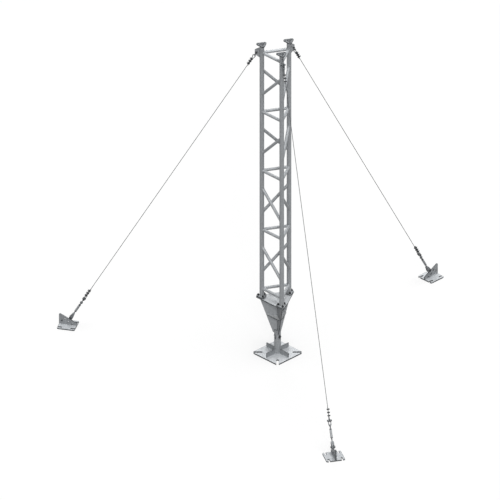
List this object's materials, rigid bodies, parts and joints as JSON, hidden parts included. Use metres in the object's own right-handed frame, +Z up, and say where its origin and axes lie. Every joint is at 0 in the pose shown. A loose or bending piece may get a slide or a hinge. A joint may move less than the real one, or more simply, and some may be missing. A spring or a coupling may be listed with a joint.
{
  "type": "guyed lattice radio mast",
  "caption": "Guyed tubular lattice mast section on a hinged foot, with a cone base, guy wires, turnbuckles and slotted ground anchors.",
  "frame": {"origin": "centre of the foot plate's underside, on the mast's axis", "axes": "+Z up the mast; one leg and its anchor stand towards +Y, and the hinge bolt of the foot runs along X"},
  "size_m": [4.1312, 3.5825, 3.65],
  "materials": {
    "galvanised_steel": "hot-dip galvanised, dull grey with a faint spangle",
    "forged_fittings": "forged, zinc plated",
    "steel_strand": "galvanised stranded wire"
  },
  "bodies": {
    "root": {"anchor_fin_back": "galvanised_steel", "anchor_fin_left": "galvanised_steel", "anchor_fin_right": "galvanised_steel", "anchor_plate_back": "galvanised_steel", "anchor_plate_left": "galvanised_steel", "anchor_plate_right": "galvanised_steel", "bracing_back_right": "galvanised_steel", "bracing_left_back": "galvanised_steel", "bracing_right_left": "galvanised_steel", "cone_boss": "galvanised_steel", "cone_fin_back": "galvanised_steel", "cone_fin_left": "galvanised_steel", "cone_fin_right": "galvanised_steel", "cone_mid_plate": "galvanised_steel", "cone_top_plate": "galvanised_steel", "foot_gussets": "galvanised_steel", "foot_pipe": "galvanised_steel", "foot_plate": "galvanised_steel", "guy_eyes_back": "steel_strand", "guy_eyes_left": "steel_strand", "guy_eyes_right": "steel_strand", "guy_lug_back": "galvanised_steel", "guy_lug_left": "galvanised_steel", "guy_lug_right": "galvanised_steel", "guy_shackles_back": "forged_fittings", "guy_shackles_left": "forged_fittings", "guy_shackles_right": "forged_fittings", "guy_wire_back": "steel_strand", "guy_wire_left": "steel_strand", "guy_wire_right": "steel_strand", "hinge_bolt": "forged_fittings", "hinge_tongue": "galvanised_steel", "leg_back": "galvanised_steel", "leg_back_base_flange": "galvanised_steel", "leg_back_top_flange": "galvanised_steel", "leg_left": "galvanised_steel", "leg_left_base_flange": "galvanised_steel", "leg_left_top_flange": "galvanised_steel", "leg_right": "galvanised_steel", "leg_right_base_flange": "galvanised_steel", "leg_right_top_flange": "galvanised_steel", "turnbuckle_back": "forged_fittings", "turnbuckle_left": "forged_fittings", "turnbuckle_right": "forged_fittings"}
  },
  "joints": []
}
